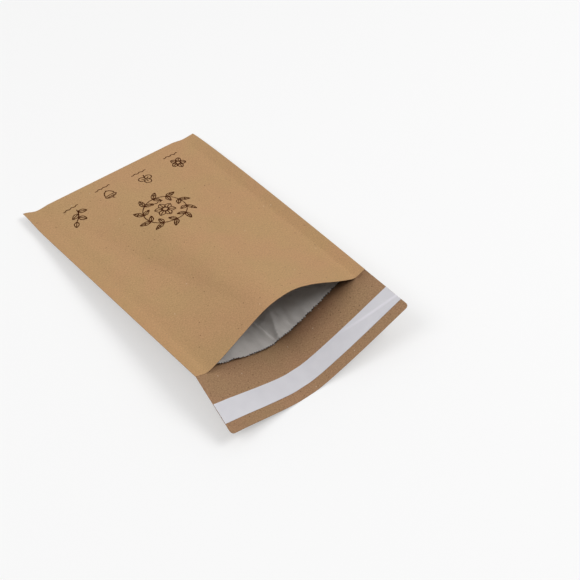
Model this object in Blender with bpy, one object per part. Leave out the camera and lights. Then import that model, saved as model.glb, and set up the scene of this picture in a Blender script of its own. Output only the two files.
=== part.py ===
"""Padded paper mailer, lying on its back with its mouth and flap open.

One sheet of brown kraft paper is folded at the foot, sealed along both side seams, and runs on
past the mouth as the flap. A folded cushion and a grey paper pocket lie inside it. The flap
carries a band of glue under a pale release liner.

X runs across the mailer, Y from the flap towards the foot fold, and Z up from the surface that
the mailer lies on. The origin is on that surface, at the middle of the whole outline.

Places on the mailer are given by two sheet coordinates. "u" runs from -1 at the left side edge
to 1 at the right one, and "s" is the distance from the foot fold along the sheet.
"""
import math

import bmesh
import bpy

# Flat sizes of the sheets, in metres
MAILER_WIDTH = 0.200
POCKET_LENGTH = 0.275
FLAP_LENGTH = 0.054
FLAP_CORNER_RADIUS = 0.0035
SEAM_WIDTH = 0.010

# Thickness of each layer, and the room between touching layers
KRAFT_THICKNESS = 0.0003
PADDING_THICKNESS = 0.0012
LINING_THICKNESS = 0.0003
LAYER_GAP = 0.0003
POCKET_GAP = 0.0003
SEAM_EASE = 0.018

# Mouth ends of the cushion and of the lining, measured back from the mouth line
PADDING_SETBACK = 0.016
PADDING_TAPER = 0.024
PADDING_EDGE_THICKNESS = 0.0004
LINING_SETBACK_LEFT = 0.0080
LINING_SETBACK_KINK = 0.0045
LINING_SETBACK_RIGHT = 0.0098
LINING_KINK_OFFSET = -0.010
LINING_DROP = 0.004

# Release liner and the glue under it, measured out from the mouth line
LINER_START = 0.0263
LINER_WIDTH = 0.0182
LINER_THICKNESS = 0.0002
LINER_SIDE_MARGIN = 0.0008
GLUE_MARGIN = 0.002
GLUE_SIDE_MARGIN = 0.004
GLUE_THICKNESS = 0.0002

# How the open mailer bows: heights above the surface it lies on
FOOT_SIDE_HEIGHT = 0.0022
MOUTH_LEFT_HEIGHT = 0.0319
MOUTH_RIGHT_HEIGHT = 0.0370
MOUTH_PEAK_HEIGHT = 0.0630
FREE_EDGE_LEFT_HEIGHT = 0.0144
FREE_EDGE_RIGHT_HEIGHT = 0.0345
BACK_LIFT_AT_MOUTH = 0.0054
CORNER_CURL_HEIGHT = 0.0046

# Where it bows: distances across the sheet and along it
MOUTH_PULL_IN = 0.0070
FREE_EDGE_PULL_IN = 0.0030
PEAK_OFFSET = 0.0056
LOW_LINE_AT_MOUTH = -0.0090
LOW_LINE_AT_FREE_EDGE = -0.0188
FLAT_HALF_AT_FOOT = 0.076
FLAT_HALF_AT_MOUTH = 0.0064
LIFT_LENGTH = 0.110
CORNER_CURL_LENGTH = 0.0230
CORNER_CURL_WIDTH = 0.0110

# Character of the curves, without a unit
PULL_IN_POWER = 1.25
SIDE_RISE_POWER = 0.84
ARCH_FULLNESS = 0.47
SIDE_BEND_SOFTNESS = 0.14

# Fineness of the faces
COLUMNS = 24
ROWS_TO_TAPER = 9
ROW_CROWDING = 1.5
FOLD_STEPS = 4
CORNER_STEPS = 3
EDGE_SEARCH_STEPS = 40
EDGE_CLEARANCE = 0.0015
MERGE_DISTANCE = 1e-6
SHARP_ANGLE = math.radians(40)

# Sizes that follow from the ones above
HALF_WIDTH = MAILER_WIDTH / 2
SHEET_END = POCKET_LENGTH + FLAP_LENGTH
SEAM_LINE = 1 - SEAM_WIDTH / HALF_WIDTH
SEALED_HEIGHT = 2 * KRAFT_THICKNESS
CLOSED_HEIGHT = 2 * (KRAFT_THICKNESS + PADDING_THICKNESS + LINING_THICKNESS + 2 * LAYER_GAP) + POCKET_GAP
PADDING_END = POCKET_LENGTH - PADDING_SETBACK
TAPER_START = PADDING_END - PADDING_TAPER
FOOT_Y = (SHEET_END - CLOSED_HEIGHT / 2) / 2


def share(value, low, high):
    """How far value lies from low to high, kept between 0 and 1."""
    return min(1.0, max(0.0, (value - low) / (high - low)))


def mix(start, end, amount):
    return start + (end - start) * amount


def smooth(amount):
    return amount * amount * (3 - 2 * amount)


# Shape of the open mailer

def half_width_at(s):
    """Half the width as seen from above: bowed sheets draw their sides in."""
    pocket = share(s, 0, POCKET_LENGTH)
    flap = share(s, POCKET_LENGTH, SHEET_END)
    pull_in = mix(MOUTH_PULL_IN * pocket ** PULL_IN_POWER, FREE_EDGE_PULL_IN, flap)
    return HALF_WIDTH - pull_in


def back_height(u, s):
    """Height of the back sheet's underside, flat in the middle and rising to both sides."""
    pocket = share(s, 0, POCKET_LENGTH)
    flap = share(s, POCKET_LENGTH, SHEET_END)
    lift = BACK_LIFT_AT_MOUTH * share(s, POCKET_LENGTH - LIFT_LENGTH, POCKET_LENGTH) ** 2 * (1 - flap)
    low_line = mix(LOW_LINE_AT_MOUTH * pocket, LOW_LINE_AT_FREE_EDGE, flap) / HALF_WIDTH
    flat = mix(FLAT_HALF_AT_FOOT, FLAT_HALF_AT_MOUTH, pocket) / HALF_WIDTH
    if u < low_line:
        mouth, free_edge = MOUTH_LEFT_HEIGHT, FREE_EDGE_LEFT_HEIGHT
        outwards = (low_line - u) / (1 + low_line)
    else:
        mouth, free_edge = MOUTH_RIGHT_HEIGHT, FREE_EDGE_RIGHT_HEIGHT
        outwards = (u - low_line) / (1 - low_line)
    side = mix(mix(FOOT_SIDE_HEIGHT, mouth, pocket ** SIDE_RISE_POWER), free_edge, flap)
    bend = share(outwards, flat, 1)
    bend = bend * bend / (bend + SIDE_BEND_SOFTNESS) * (1 + SIDE_BEND_SOFTNESS)
    inset = (u + 1) * HALF_WIDTH
    curl = CORNER_CURL_HEIGHT * math.exp(-(s / CORNER_CURL_LENGTH) ** 2 - (inset / CORNER_CURL_WIDTH) ** 2)
    return mix(lift, side, bend) + curl


def closed_height(u):
    """Height over both sheets where the pocket is shut: thin at the seams, padded between them."""
    inset = (1 - abs(u)) * HALF_WIDTH
    return mix(SEALED_HEIGHT, CLOSED_HEIGHT, smooth(share(inset, SEAM_WIDTH, SEAM_WIDTH + SEAM_EASE)))


def mouth_arch(u):
    """Height of the front sheet along the mouth: an arch from seam to seam."""
    peak = PEAK_OFFSET / HALF_WIDTH
    seam = SEAM_LINE if u > peak else -SEAM_LINE
    seam_height = back_height(seam, POCKET_LENGTH) + SEALED_HEIGHT
    outwards = share((u - peak) / (seam - peak), 0, 1)
    wave = (1 + math.cos(math.pi * outwards)) / 2
    full = math.cos(math.pi * outwards / 2)
    return mix(seam_height, MOUTH_PEAK_HEIGHT, mix(wave, full, ARCH_FULLNESS))


def height_between(u, s):
    """Height from the back sheet's underside to the front sheet's top."""
    if abs(u) >= SEAM_LINE:
        return SEALED_HEIGHT
    opened = mouth_arch(u) - back_height(u, POCKET_LENGTH)
    return mix(closed_height(u), opened, share(s, 0, POCKET_LENGTH))


def sheet_point(u, s, height, spread=0.0):
    """Point at a height above the back sheet's underside.

    A rising sheet ends short of its length, and the thin seams reach as far as the padded foot.
    """
    pocket = share(s, 0, POCKET_LENGTH)
    between = height_between(u, s)
    back_rise = back_height(u, POCKET_LENGTH) - back_height(u, 0)
    front_rise = back_rise + height_between(u, POCKET_LENGTH) - height_between(u, 0)
    level = share(height, 0, between) if s <= POCKET_LENGTH else 0.0
    drawn_back = mix(back_rise ** 2, front_rise ** 2, level) / (2 * POCKET_LENGTH) * pocket
    seam_reach = (CLOSED_HEIGHT - closed_height(u)) / 2 * (1 - pocket)
    y = FOOT_Y - s + drawn_back + seam_reach + spread
    return (half_width_at(s) * u, y, back_height(u, s) + height)


def station_at(s, u):
    """Distance from the foot fold. A station that isn't straight across is a function of u."""
    return s(u) if callable(s) else s


def layer_edge(side, s, depth):
    """The u at which the front and back of a layer, each at a depth in the stack, meet."""
    inner, outer = 0.0, SEAM_LINE
    if depth <= KRAFT_THICKNESS:
        return side * SEAM_LINE
    for _ in range(EDGE_SEARCH_STEPS):
        middle = (inner + outer) / 2
        u = side * middle
        if height_between(u, station_at(s, u)) > 2 * depth:
            inner = middle
        else:
            outer = middle
    return side * inner


# Rows of points across the sheets

def pocket_columns():
    """Columns from seam to seam, closer together towards both sides."""
    even = [2 * step / COLUMNS - 1 for step in range(COLUMNS + 1)]
    return [SEAM_LINE * (place + math.sin(math.pi * place / 2)) / 2 for place in even]


def wrapper_columns():
    """Columns over the whole width, with extra ones along the rounded flap corners."""
    turns = [math.pi / 2 * step / CORNER_STEPS for step in range(CORNER_STEPS + 1)]
    insets = [FLAP_CORNER_RADIUS * (1 - math.cos(turn)) for turn in turns]
    side = [1 - inset / HALF_WIDTH for inset in insets]
    return [-u for u in side] + pocket_columns() + side[::-1]


def panel_row(columns, s, depth, front):
    """Points across a panel at a depth in from its outer face."""
    row = []
    for u in columns:
        place = station_at(s, u)
        height = height_between(u, place) - depth if front else depth
        row.append(sheet_point(u, place, height))
    return row


def foot_fold_rows(columns, depth):
    """Rows around the foot fold, between the front panel and the back one."""
    rows = []
    for step in range(1, FOLD_STEPS):
        turn = math.pi * step / FOLD_STEPS
        row = []
        for u in columns:
            middle = height_between(u, 0) / 2
            radius = max(0.0, middle - depth)
            row.append(sheet_point(u, 0, middle + radius * math.cos(turn), radius * math.sin(turn)))
        rows.append(row)
    return rows


def rows_along(mouth_end_rows):
    """Distances from the foot fold of the rows of a panel, closer together at the foot."""
    shares = [(step / ROWS_TO_TAPER) ** ROW_CROWDING for step in range(ROWS_TO_TAPER + 1)]
    return [TAPER_START * place for place in shares] + mouth_end_rows


def pouch_columns(s, depth):
    """The pocket's columns, with those past a layer's side edges gathered on those edges."""
    left = layer_edge(-1, s, depth)
    right = layer_edge(1, s, depth)
    clearance = EDGE_CLEARANCE / HALF_WIDTH
    return [left if u < left + clearance else right if u > right - clearance else u for u in pocket_columns()]


def pouch_rows(stations, depth_at):
    """Rows of a pouch's face: down the front, around the foot and up the back."""
    front = []
    back = []
    for s in stations:
        depth = depth_at(station_at(s, 0))
        columns = pouch_columns(s, depth)
        front.append(panel_row(columns, s, depth, True))
        back.append(panel_row(columns, s, depth, False))
    foot_depth = depth_at(0)
    return front[::-1] + foot_fold_rows(pouch_columns(0, foot_depth), foot_depth) + back


# Meshes and objects

class FaceBuilder:
    """Collects faces from rows of points and joins them into one closed mesh."""

    def __init__(self):
        self.points = []
        self.faces = []

    def add_face(self, corners):
        first = len(self.points)
        self.points.extend(corners)
        self.faces.append(tuple(range(first, first + len(corners))))

    def add_strip(self, row, next_row):
        for index in range(len(row) - 1):
            self.add_face([row[index], row[index + 1], next_row[index + 1]])
            self.add_face([row[index], next_row[index + 1], next_row[index]])

    def add_rows(self, rows):
        for row, next_row in zip(rows, rows[1:]):
            self.add_strip(row, next_row)

    def make_object(self, name, material):
        mesh = bpy.data.meshes.new(name)
        mesh.from_pydata(self.points, [], self.faces)
        work = bmesh.new()
        work.from_mesh(mesh)
        bmesh.ops.remove_doubles(work, verts=work.verts, dist=MERGE_DISTANCE)
        bmesh.ops.recalc_face_normals(work, faces=work.faces)
        work.to_mesh(mesh)
        work.free()
        mesh.shade_smooth()
        mesh.set_sharp_from_angle(angle=SHARP_ANGLE)
        mesh.materials.append(material)
        made = bpy.data.objects.new(name, mesh)
        bpy.context.scene.collection.objects.link(made)
        return made


def make_material(name, colour, roughness, metallic=0.0):
    material = bpy.data.materials.new(name)
    material.use_nodes = True
    shader = material.node_tree.nodes["Principled BSDF"]
    shader.inputs["Base Color"].default_value = (*colour, 1.0)
    shader.inputs["Roughness"].default_value = roughness
    shader.inputs["Metallic"].default_value = metallic
    material.diffuse_color = (*colour, 1.0)
    return material


def flap_end_at(u):
    """Where the free edge lies, drawn in around the rounded corners."""
    inset = (1 - abs(u)) * HALF_WIDTH
    if inset >= FLAP_CORNER_RADIUS:
        return SHEET_END
    across = FLAP_CORNER_RADIUS - inset
    return SHEET_END - FLAP_CORNER_RADIUS + math.sqrt(max(0.0, FLAP_CORNER_RADIUS ** 2 - across ** 2))


def flap_stations():
    liner_start = POCKET_LENGTH + LINER_START
    liner_end = liner_start + LINER_WIDTH
    before = POCKET_LENGTH + LINER_START / 2
    return [before, liner_start, (liner_start + liner_end) / 2, liner_end, flap_end_at]


def make_outer_wrapper():
    """Kraft sheet: front panel, foot fold, back panel and flap in one, sealed along both sides."""
    stations = rows_along([TAPER_START + PADDING_TAPER / 2, PADDING_END, POCKET_LENGTH])
    columns = wrapper_columns()
    side_count = CORNER_STEPS + 1
    pocket_part = slice(side_count, len(columns) - side_count)

    front_outside = [panel_row(columns, s, 0, True) for s in stations]
    back_outside = [panel_row(columns, s, 0, False) for s in stations]
    flap_outside = [panel_row(columns, s, 0, False) for s in flap_stations()]
    flap_inside = [panel_row(columns, s, KRAFT_THICKNESS, False) for s in flap_stations()]
    mouth_inside = panel_row(columns, POCKET_LENGTH, KRAFT_THICKNESS, False)
    foot_outside = foot_fold_rows(columns, 0)
    pocket_rows = pouch_rows(stations, lambda s: KRAFT_THICKNESS)

    builder = FaceBuilder()
    builder.add_rows(front_outside[::-1] + foot_outside + back_outside + flap_outside)
    builder.add_rows(pocket_rows)
    builder.add_rows([mouth_inside] + flap_inside)
    builder.add_strip(flap_outside[-1], flap_inside[-1])
    mouth_rim = list(mouth_inside)
    mouth_rim[pocket_part] = pocket_rows[0]
    builder.add_strip(front_outside[-1], mouth_rim)

    for side in (0, -1):
        edge_u = columns[side]
        front_edge = [row[side] for row in front_outside]
        back_edge = [row[side] for row in back_outside]
        joint_edge = [sheet_point(edge_u, s, KRAFT_THICKNESS) for s in stations]
        flap_outside_edge = [row[side] for row in flap_outside]
        flap_inside_edge = [row[side] for row in flap_inside]
        builder.add_strip(front_edge, joint_edge)
        builder.add_strip(joint_edge + flap_inside_edge, back_edge + flap_outside_edge)
        foot_edge = [row[side] for row in foot_outside]
        builder.add_face([front_edge[0]] + foot_edge + [back_edge[0], joint_edge[0]])
    kraft = make_material("kraft_paper", (0.44, 0.26, 0.13), 0.85)
    return builder.make_object("outer_wrapper", kraft)


def padding_thickness_at(s):
    return mix(PADDING_THICKNESS, PADDING_EDGE_THICKNESS, share(s, TAPER_START, PADDING_END))


def make_padding():
    """Cushion sheet folded at the foot and sealed at the sides, thinner towards the mouth."""
    stations = rows_along([TAPER_START + PADDING_TAPER / 2, PADDING_END])
    outer_depth = KRAFT_THICKNESS + LAYER_GAP
    outside = pouch_rows(stations, lambda s: outer_depth)
    inside = pouch_rows(stations, lambda s: outer_depth + padding_thickness_at(s))
    builder = FaceBuilder()
    builder.add_rows(outside)
    builder.add_rows(inside)
    builder.add_strip(outside[0], inside[0])
    builder.add_strip(outside[-1], inside[-1])
    cushion = make_material("paper_cushion", (0.40, 0.36, 0.31), 0.95)
    return builder.make_object("padding", cushion)


def lining_depth_at(s):
    """Depth of the lining's outer face: over the cushion, then down to the kraft near the mouth."""
    over_cushion = padding_thickness_at(s) + LAYER_GAP
    past_cushion = share(s, PADDING_END + LAYER_GAP, PADDING_END + LINING_DROP)
    return KRAFT_THICKNESS + LAYER_GAP + over_cushion * (1 - past_cushion)


def lining_end_at(u):
    """The lining's cut edge: nearest to the mouth at its kink, further back towards both sides."""
    kink = LINING_KINK_OFFSET / HALF_WIDTH
    corner = LINING_SETBACK_LEFT if u < kink else LINING_SETBACK_RIGHT
    outwards = share((u - kink) / ((1 if u > kink else -1) - kink), 0, 1)
    return POCKET_LENGTH - mix(LINING_SETBACK_KINK, corner, outwards)


def make_inner_lining():
    """Grey paper pocket that lines the cushion."""
    drop_stations = [PADDING_END + LAYER_GAP, PADDING_END + LINING_DROP, lining_end_at]
    stations = rows_along([TAPER_START + PADDING_TAPER / 2] + drop_stations)
    outside = pouch_rows(stations, lining_depth_at)
    inside = pouch_rows(stations, lambda s: lining_depth_at(s) + LINING_THICKNESS)
    builder = FaceBuilder()
    builder.add_rows(outside)
    builder.add_rows(inside)
    builder.add_strip(outside[0], inside[0])
    builder.add_strip(outside[-1], inside[-1])
    grey = make_material("lining_paper", (0.35, 0.34, 0.32), 0.9)
    return builder.make_object("inner_lining", grey)


def make_flap_band(name, material, margin, side_margin, base, thickness):
    """Thin band across the flap's inner face, from side to side."""
    start = POCKET_LENGTH + LINER_START + margin
    end = POCKET_LENGTH + LINER_START + LINER_WIDTH - margin
    limit = 1 - side_margin / HALF_WIDTH
    columns = [-limit] + [u for u in wrapper_columns() if abs(u) < limit] + [limit]
    stations = [start, (start + end) / 2, end]
    low = [panel_row(columns, s, base, False) for s in stations]
    high = [panel_row(columns, s, base + thickness, False) for s in stations]
    builder = FaceBuilder()
    builder.add_rows(low)
    builder.add_rows(high)
    builder.add_strip(low[0], high[0])
    builder.add_strip(low[-1], high[-1])
    for side in (0, -1):
        builder.add_strip([row[side] for row in low], [row[side] for row in high])
    return builder.make_object(name, material)


def make_flap_bands():
    glue_base = KRAFT_THICKNESS + LAYER_GAP
    liner_base = glue_base + GLUE_THICKNESS + LAYER_GAP
    glue = make_material("seal_glue", (0.70, 0.66, 0.55), 0.35)
    liner = make_material("release_paper", (0.61, 0.60, 0.64), 0.45)
    make_flap_band("adhesive_strip", glue, GLUE_MARGIN, GLUE_SIDE_MARGIN, glue_base, GLUE_THICKNESS)
    make_flap_band("release_liner", liner, 0.0, LINER_SIDE_MARGIN, liner_base, LINER_THICKNESS)


def main():
    for old in list(bpy.data.objects):
        bpy.data.objects.remove(old, do_unlink=True)
    make_outer_wrapper()
    make_padding()
    make_inner_lining()
    make_flap_bands()


main()
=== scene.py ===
# %% [markdown]
# # A padded paper mailer, lying open
#
# The real mailer is one long sheet of brown kraft paper. It is folded once at the foot, glued
# down both sides, and its back runs on past the mouth as the flap. Inside are a thin cushion and
# a grey paper pocket, and the flap has a glue band under a pale peel-off liner.
#
# This lesson dresses the solid model of the mailer. Every piece is worked out from one
# description of how the open sheets bow, so the layers nest without touching.

# %% Load the solid model
import math

import bmesh
import bpy
import numpy as np
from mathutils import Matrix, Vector


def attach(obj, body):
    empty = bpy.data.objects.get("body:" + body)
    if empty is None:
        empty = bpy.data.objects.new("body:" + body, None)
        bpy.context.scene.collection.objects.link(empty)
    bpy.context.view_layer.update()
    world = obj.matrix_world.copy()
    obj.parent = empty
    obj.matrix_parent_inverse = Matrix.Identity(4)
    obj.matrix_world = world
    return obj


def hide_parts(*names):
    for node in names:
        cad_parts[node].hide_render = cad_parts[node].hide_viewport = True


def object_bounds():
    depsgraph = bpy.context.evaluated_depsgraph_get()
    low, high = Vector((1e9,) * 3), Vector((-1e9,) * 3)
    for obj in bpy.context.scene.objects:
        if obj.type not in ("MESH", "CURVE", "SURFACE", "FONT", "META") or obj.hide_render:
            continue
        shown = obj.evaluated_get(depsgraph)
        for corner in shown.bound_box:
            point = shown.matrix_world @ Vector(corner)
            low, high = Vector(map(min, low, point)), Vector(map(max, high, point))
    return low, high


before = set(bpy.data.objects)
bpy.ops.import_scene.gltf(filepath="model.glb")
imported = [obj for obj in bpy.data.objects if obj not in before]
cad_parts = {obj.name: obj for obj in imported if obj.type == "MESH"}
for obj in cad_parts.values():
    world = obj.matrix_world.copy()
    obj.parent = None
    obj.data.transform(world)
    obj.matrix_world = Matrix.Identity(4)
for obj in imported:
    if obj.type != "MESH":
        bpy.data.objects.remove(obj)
SOLID_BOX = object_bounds()
SOLID_LOW, SOLID_HIGH = (np.array(corner) for corner in SOLID_BOX)
print("solids:", sorted(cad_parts))
print("solid box, mm:", np.round((SOLID_HIGH - SOLID_LOW) * 1000, 1))

# %% [markdown]
# ## The camera
#
# A picture of a flat, known shape gives the camera away: the mailer's straight edges and its
# width-to-length ratio fix where the lens was. The numbers here are an ordinary orbit camera's:
# a compass angle, a height angle, a small roll, a distance, and the point it looks at. The lens
# is about 70 mm on a 36 mm sensor, so the perspective is mild.

# %% Place the camera
CAMERA_COMPASS = math.radians(-40.10)
CAMERA_HEIGHT_ANGLE = math.radians(48.92)
CAMERA_ROLL = math.radians(1.67)
CAMERA_DISTANCE = 1.0309
CAMERA_TARGET = Vector((0.04593, -0.06288, 0.0))
CAMERA_LENS = 69.61


def place_camera():
    """An orbit camera: it stands back from its target, then rolls about its own view line."""
    level = math.cos(CAMERA_HEIGHT_ANGLE)
    back = Vector((math.sin(CAMERA_COMPASS) * level, -math.cos(CAMERA_COMPASS) * level,
                   math.sin(CAMERA_HEIGHT_ANGLE)))
    right = Vector((math.cos(CAMERA_COMPASS), math.sin(CAMERA_COMPASS), 0.0))
    up = back.cross(right)
    turn, lean = math.cos(CAMERA_ROLL), math.sin(CAMERA_ROLL)
    right, up = right * turn + up * lean, up * turn - right * lean
    lens = bpy.data.cameras.new("mailer_camera")
    lens.lens = CAMERA_LENS
    lens.sensor_width = 36.0
    lens.clip_end = 20.0
    camera = bpy.data.objects.new("mailer_camera", lens)
    bpy.context.scene.collection.objects.link(camera)
    matrix = camera.matrix_world
    for column, axis in enumerate((right, up, back, CAMERA_TARGET + back * CAMERA_DISTANCE)):
        for row in range(3):
            matrix[row][column] = axis[row]
    camera.matrix_world = matrix
    bpy.context.scene.camera = camera
    return camera


print("camera at", np.round(place_camera().matrix_world.translation, 3))

# %% [markdown]
# ## How the open sheets bow
#
# Paper bends but hardly stretches, so an open mailer has a typical form: flat at the foot, with
# the back sheet sagging like a hammock and the front sheet arching over it at the mouth. It
# could be simulated as cloth, but stiff paper under its own spring settles into clean curves
# that a few formulas describe exactly, and formulas can be read and changed.
#
# Two sheet coordinates are used all through: `u` runs from -1 at the left side edge to 1 at the
# right one, and `s` is the distance from the foot fold along the sheet.

# %% Sizes of the sheets
MAILER_WIDTH = SOLID_HIGH[0] - SOLID_LOW[0]
HALF_WIDTH = MAILER_WIDTH / 2
POCKET_LENGTH = 0.275
FLAP_LENGTH = 0.054
SHEET_END = POCKET_LENGTH + FLAP_LENGTH
SEAM_WIDTH = 0.010
SEAM_EASE = 0.018
KRAFT_THICKNESS = 0.0003
PADDING_THICKNESS = 0.0012
LINING_THICKNESS = 0.0003
LAYER_GAP = 0.0003
SEALED_HEIGHT = 2 * KRAFT_THICKNESS
STACK_THICKNESS = KRAFT_THICKNESS + PADDING_THICKNESS + LINING_THICKNESS + 2 * LAYER_GAP
CLOSED_HEIGHT = 2 * STACK_THICKNESS + LAYER_GAP
SEAM_LINE = 1 - SEAM_WIDTH / HALF_WIDTH
FOOT_Y = (SHEET_END - CLOSED_HEIGHT / 2) / 2
print("mailer width", round(MAILER_WIDTH, 4), "foot line at y", round(FOOT_Y, 5))

# %% Heights and offsets of the bowed shape
FOOT_SIDE_HEIGHT = 0.0022
MOUTH_LEFT_HEIGHT = 0.0319
MOUTH_RIGHT_HEIGHT = 0.0370
MOUTH_PEAK_HEIGHT = 0.0630
FREE_EDGE_LEFT_HEIGHT = 0.0144
FREE_EDGE_RIGHT_HEIGHT = 0.0345
BACK_LIFT_AT_MOUTH = 0.0054
CORNER_CURL_HEIGHT = 0.0046
MOUTH_PULL_IN = 0.0070
FREE_EDGE_PULL_IN = 0.0030
PEAK_OFFSET = 0.0056
LOW_LINE_AT_MOUTH = -0.0090
LOW_LINE_AT_FREE_EDGE = -0.0188
FLAT_HALF_AT_FOOT = 0.076
FLAT_HALF_AT_MOUTH = 0.0064
LIFT_LENGTH = 0.110
CORNER_CURL_LENGTH = 0.0230
CORNER_CURL_WIDTH = 0.0110
PULL_IN_POWER = 1.25
SIDE_RISE_POWER = 0.84
ARCH_FULLNESS = 0.47
SIDE_BEND_SOFTNESS = 0.14


def share(value, low, high):
    """How far value lies from low to high, kept between 0 and 1."""
    return np.clip((value - low) / (high - low), 0.0, 1.0)


def mix(start, end, amount):
    return start + (end - start) * amount


def smooth(amount):
    return amount * amount * (3 - 2 * amount)


MOUTH_HEIGHTS = np.array([MOUTH_LEFT_HEIGHT, MOUTH_PEAK_HEIGHT, MOUTH_RIGHT_HEIGHT])
print("mouth at the left, its peak and at the right, mm:", np.round(MOUTH_HEIGHTS * 1000, 1))

# %% [markdown]
# The back sheet comes first. Its underside lies flat on the table near the foot. Towards the
# mouth the flat part narrows, the sides rise, and the middle lifts a few millimetres. Past the
# mouth it is the flap, whose free edge comes down to the table again.

# %% The back sheet
def half_width_at(s):
    """Half the width as seen from above: bowed sheets draw their sides in."""
    pull_in = MOUTH_PULL_IN * share(s, 0, POCKET_LENGTH) ** PULL_IN_POWER
    return HALF_WIDTH - mix(pull_in, FREE_EDGE_PULL_IN, share(s, POCKET_LENGTH, SHEET_END))


def back_height(u, s):
    """Height of the back sheet's underside."""
    pocket = share(s, 0, POCKET_LENGTH)
    flap = share(s, POCKET_LENGTH, SHEET_END)
    lift = BACK_LIFT_AT_MOUTH * share(s, POCKET_LENGTH - LIFT_LENGTH, POCKET_LENGTH) ** 2 * (1 - flap)
    low_line = mix(LOW_LINE_AT_MOUTH * pocket, LOW_LINE_AT_FREE_EDGE, flap) / HALF_WIDTH
    flat = mix(FLAT_HALF_AT_FOOT, FLAT_HALF_AT_MOUTH, pocket) / HALF_WIDTH
    left = u < low_line
    mouth = np.where(left, MOUTH_LEFT_HEIGHT, MOUTH_RIGHT_HEIGHT)
    free_edge = np.where(left, FREE_EDGE_LEFT_HEIGHT, FREE_EDGE_RIGHT_HEIGHT)
    outwards = np.where(left, (low_line - u) / (1 + low_line), (u - low_line) / (1 - low_line))
    side = mix(mix(FOOT_SIDE_HEIGHT, mouth, pocket ** SIDE_RISE_POWER), free_edge, flap)
    bend = share(outwards, flat, 1)
    bend = bend * bend / (bend + SIDE_BEND_SOFTNESS) * (1 + SIDE_BEND_SOFTNESS)
    inset = (u + 1) * HALF_WIDTH
    curl = np.exp(-(s / CORNER_CURL_LENGTH) ** 2 - (inset / CORNER_CURL_WIDTH) ** 2)
    return mix(lift, side, bend) + CORNER_CURL_HEIGHT * curl


print("width at the mouth, mm:", round(float(half_width_at(POCKET_LENGTH)) * 2000, 1))

# %% [markdown]
# The front sheet is given by its height above the back one. Along the seams the two are glued
# and only two papers thick. Between the seams the cushion holds them apart, and towards the
# mouth the gap grows into the arch. Paper can't turn a corner where the glue ends, so the arch
# leaves each seam softly over about 5 mm. Real paper is never quite even either, so the front
# panel also gets a very shallow ripple, which fades out at the seams.

# %% The front sheet and the ripple of its paper
RIPPLE_HEIGHT = 0.00022
SEAM_FLARE = 0.0050
# Each wave of the ripple: its length, the direction that it runs in, and where it starts
RIPPLES = ((0.043, 0.6, 0.4), (0.071, 1.9, 2.1), (0.029, 2.6, 5.0), (0.056, 4.2, 1.2))
RIPPLE_START = 0.004
RIPPLE_FULL = 0.035


def closed_height(u):
    """Height over both sheets where the pocket is shut."""
    inset = (1 - abs(u)) * HALF_WIDTH
    return mix(SEALED_HEIGHT, CLOSED_HEIGHT, smooth(share(inset, SEAM_WIDTH, SEAM_WIDTH + SEAM_EASE)))


def mouth_arch(u):
    """Height of the front sheet along the mouth: an arch from seam to seam."""
    peak = PEAK_OFFSET / HALF_WIDTH
    seam = np.where(u > peak, SEAM_LINE, -SEAM_LINE)
    outwards = share((u - peak) / (seam - peak), 0, 1)
    wave = (1 + np.cos(np.pi * outwards)) / 2
    full = np.cos(np.pi * outwards / 2)
    seam_height = back_height(seam, POCKET_LENGTH) + SEALED_HEIGHT
    return mix(seam_height, MOUTH_PEAK_HEIGHT, mix(wave, full, ARCH_FULLNESS))


def panel_ripple(u, s):
    """Shallow waves in the front panel, each with its own length and direction."""
    x = u * HALF_WIDTH
    waves = 0.0
    for length, direction, start in RIPPLES:
        along = x * math.cos(direction) + s * math.sin(direction)
        waves = waves + np.sin(2 * np.pi * along / length + start)
    inner = smooth(share((1 - abs(u)) * HALF_WIDTH, SEAM_WIDTH, SEAM_WIDTH + 2 * SEAM_EASE))
    return RIPPLE_HEIGHT * waves / 2 * inner * share(s, RIPPLE_START, RIPPLE_FULL)


def plain_height_between(u, s):
    """Height from the back sheet's underside to the front sheet's top, before any ripple."""
    opened = mouth_arch(u) - back_height(u, POCKET_LENGTH) - SEALED_HEIGHT
    from_seam = np.maximum(0.0, (1 - abs(u)) * HALF_WIDTH - SEAM_WIDTH)
    opened = SEALED_HEIGHT + opened * (1 - np.exp(-from_seam / SEAM_FLARE))
    height = mix(closed_height(u), opened, share(s, 0, POCKET_LENGTH))
    return np.where(abs(u) >= SEAM_LINE, SEALED_HEIGHT, height)


def height_between(u, s):
    return plain_height_between(u, s) + panel_ripple(u, s)


def sheet_point(u, s, height, spread=0.0):
    """Points at a height above the back sheet's underside, as rows of x, y, z."""
    u, s, height, spread = np.broadcast_arrays(u, s, height, spread)
    pocket = share(s, 0, POCKET_LENGTH)
    back_rise = back_height(u, POCKET_LENGTH) - back_height(u, 0.0)
    front_rise = back_rise + plain_height_between(u, POCKET_LENGTH) - plain_height_between(u, 0.0)
    level = np.where(s <= POCKET_LENGTH, share(height, 0, plain_height_between(u, s)), 0.0)
    drawn_back = mix(back_rise ** 2, front_rise ** 2, level) / (2 * POCKET_LENGTH) * pocket
    seam_reach = (CLOSED_HEIGHT - closed_height(u)) / 2 * (1 - pocket)
    y = FOOT_Y - s + drawn_back + seam_reach + spread
    return np.stack([half_width_at(s) * u, y, back_height(u, s) + height], axis=-1)


print("mouth peak, mm:", round(float(mouth_arch(np.array(PEAK_OFFSET / HALF_WIDTH))) * 1000, 1))

# %% [markdown]
# ## From rows of points to closed meshes
#
# A sheet with a thickness has an outer face, an inner face and narrow rims that join them.
# Blender's Solidify could give a flat sheet its thickness, but three papers meet at each seam
# here, so the faces are built row by row instead. Points that fall on the same place are then
# welded, which closes the shape and removes faces that have shrunk to nothing.
#
# Each point also keeps its place on the flat sheet, in metres. The paper textures use that, so
# fibres and specks follow the sheet round its folds and never stretch.

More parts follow.
